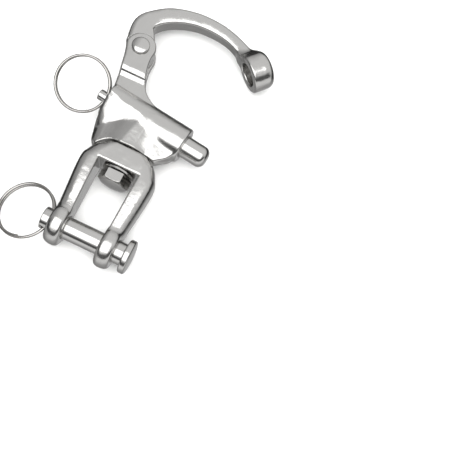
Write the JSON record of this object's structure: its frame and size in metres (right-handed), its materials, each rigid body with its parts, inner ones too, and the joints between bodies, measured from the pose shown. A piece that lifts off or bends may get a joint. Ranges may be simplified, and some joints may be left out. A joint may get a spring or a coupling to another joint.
{
  "type": "swivel snap shackle",
  "caption": "Swivel snap shackle: hinged hook locked by a sprung plunger, on a forked jaw that swivels and closes with a ringed clevis pin.",
  "frame": {"origin": "middle of the bottom of the box of the whole shackle as it lies on its side, at the lowest point of the jaw's beads", "axes": "+Y runs along the swivel axis from the jaw to the hook, +Z is the hook rivet's axis and points up, +X is the side on which the plunger's tip stands out"},
  "size_m": [0.072, 0.1064, 0.0148],
  "materials": {
    "cast_steel": "investment cast 316 stainless steel, tumbled and polished to a soft mirror",
    "turned_steel": "turned 316 stainless steel, bright polished",
    "wire_steel": "drawn stainless spring wire, bright"
  },
  "bodies": {
    "body": {"cast_body": "cast_steel", "hook_rivet": "turned_steel", "swivel_bolt": "turned_steel", "bolt_washer": "turned_steel", "plunger_spring": "wire_steel"},
    "hook": {"hook": "cast_steel"},
    "plunger": {"plunger": "turned_steel"},
    "plunger_ring": {"plunger_ring": "wire_steel"},
    "jaw": {"jaw": "cast_steel"},
    "clevis_pin": {"clevis_pin": "turned_steel"},
    "clevis_ring": {"clevis_ring": "wire_steel"}
  },
  "joints": [
    {"name": "hook_hinge", "type": "hinge", "parent": "body", "child": "hook", "pos_m": [-0.01246, 0.02884, 0.0074], "axis": [0, 0, 1], "range_deg": [-37, 50]},
    {"name": "plunger_pull", "type": "slide", "parent": "body", "child": "plunger", "axis": [-0.9925, 0.1219, 0], "range_m": [0, 0.0093], "stiffness_N_per_m": 900, "springref_m": -0.004, "deforming": ["plunger_spring"]},
    {"name": "plunger_ring_swing", "type": "hinge", "parent": "plunger", "child": "plunger_ring", "pos_m": [-0.01543, 0.00701, 0.0074], "axis": [0.1095, 0.8921, 0.4384], "range_deg": [-55, 55]},
    {"name": "jaw_swivel", "type": "hinge", "parent": "body", "child": "jaw", "pos_m": [0.00144, -0.01506, 0.0074], "axis": [0, 1, 0], "continuous": true},
    {"name": "clevis_pin_turn", "type": "hinge", "parent": "jaw", "child": "clevis_pin", "pos_m": [0.00144, -0.04266, 0.0074], "axis": [1, 0, 0], "continuous": true},
    {"name": "clevis_ring_swing", "type": "hinge", "parent": "clevis_pin", "child": "clevis_ring", "pos_m": [-0.01149, -0.04266, 0.0074], "axis": [0, 1, 0], "range_deg": [-20, 45]}
  ]
}
